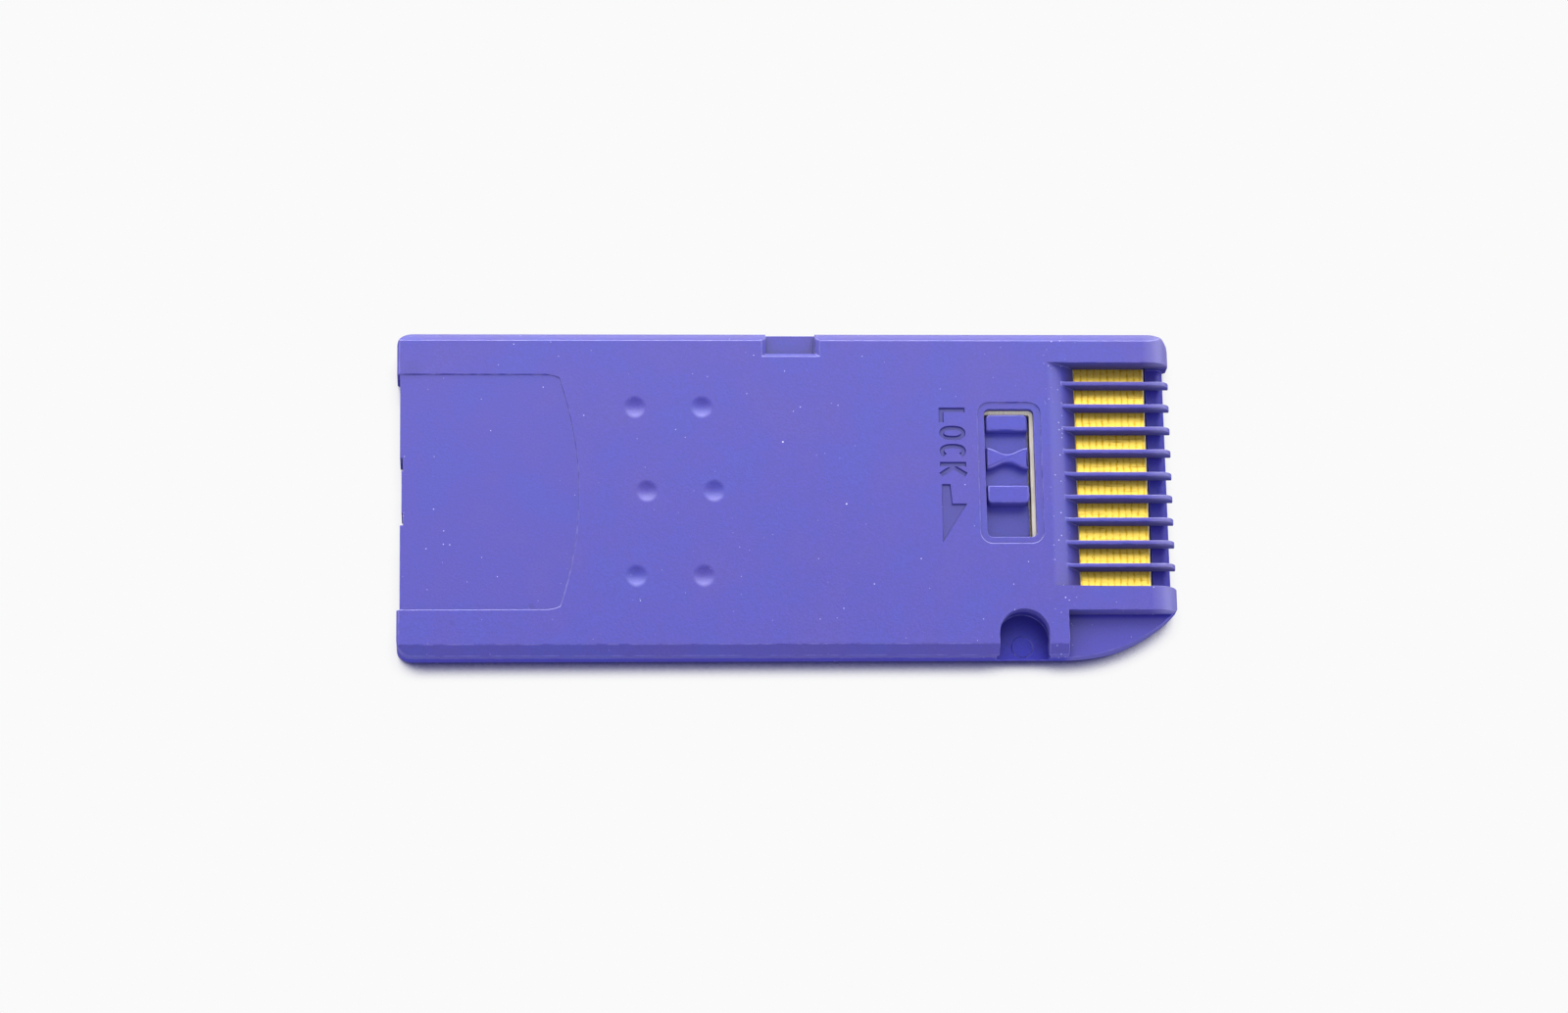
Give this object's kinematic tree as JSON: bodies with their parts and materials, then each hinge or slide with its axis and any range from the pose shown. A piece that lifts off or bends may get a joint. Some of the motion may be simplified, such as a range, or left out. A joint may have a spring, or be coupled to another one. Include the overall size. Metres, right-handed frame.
{
  "type": "memory card",
  "caption": "Slim stick-shaped removable memory card in two moulded shells, with a ribbed contact window, a sliding lock tab, a keyed corner and a recessed grip end",
  "frame": {"origin": "the middle of the footprint, on the surface that the card lies on", "axes": "+X from the grip end to the contact end, +Y across the card away from the near notch and the keyed corner, +Z from the label side to the contact side"},
  "size_m": [0.05, 0.0216, 0.0028],
  "materials": {
    "shell": "fine moulded grain",
    "slider": "smooth moulded",
    "board": "bare glass epoxy laminate",
    "guide": "moulded cream plastic",
    "gold": "gold plated over woven laminate",
    "spring_bronze": "stamped strip",
    "chip_epoxy": "moulded epoxy",
    "can_steel": "pressed can",
    "ceramic_tan": "fired ceramic",
    "ceramic_dark": "fired ceramic"
  },
  "bodies": {
    "card": {"rear_shell": "shell", "front_shell": "shell", "circuit_board": "board", "contact_pad_1": "gold", "contact_pad_2": "gold", "contact_pad_3": "gold", "contact_pad_4": "gold", "contact_pad_5": "gold", "contact_pad_6": "gold", "contact_pad_7": "gold", "contact_pad_8": "gold", "contact_pad_9": "gold", "contact_pad_10": "gold", "lock_pad_1": "gold", "lock_pad_2": "gold", "memory_chip_1": "chip_epoxy", "memory_chip_2": "chip_epoxy", "slider_guide": "guide", "controller_chip": "chip_epoxy", "crystal": "can_steel", "capacitor_1": "ceramic_tan", "capacitor_2": "ceramic_tan", "capacitor_3": "ceramic_tan", "capacitor_4": "ceramic_tan", "resistor_1": "ceramic_dark", "resistor_2": "ceramic_dark", "resistor_3": "ceramic_dark", "resistor_4": "ceramic_dark"},
    "lock": {"lock_slider": "slider", "lock_wiper": "spring_bronze"}
  },
  "joints": [
    {"name": "lock_slide", "type": "slide", "parent": "card", "child": "lock", "axis": [0, -1, 0], "range_m": [0, 0.0022]}
  ]
}
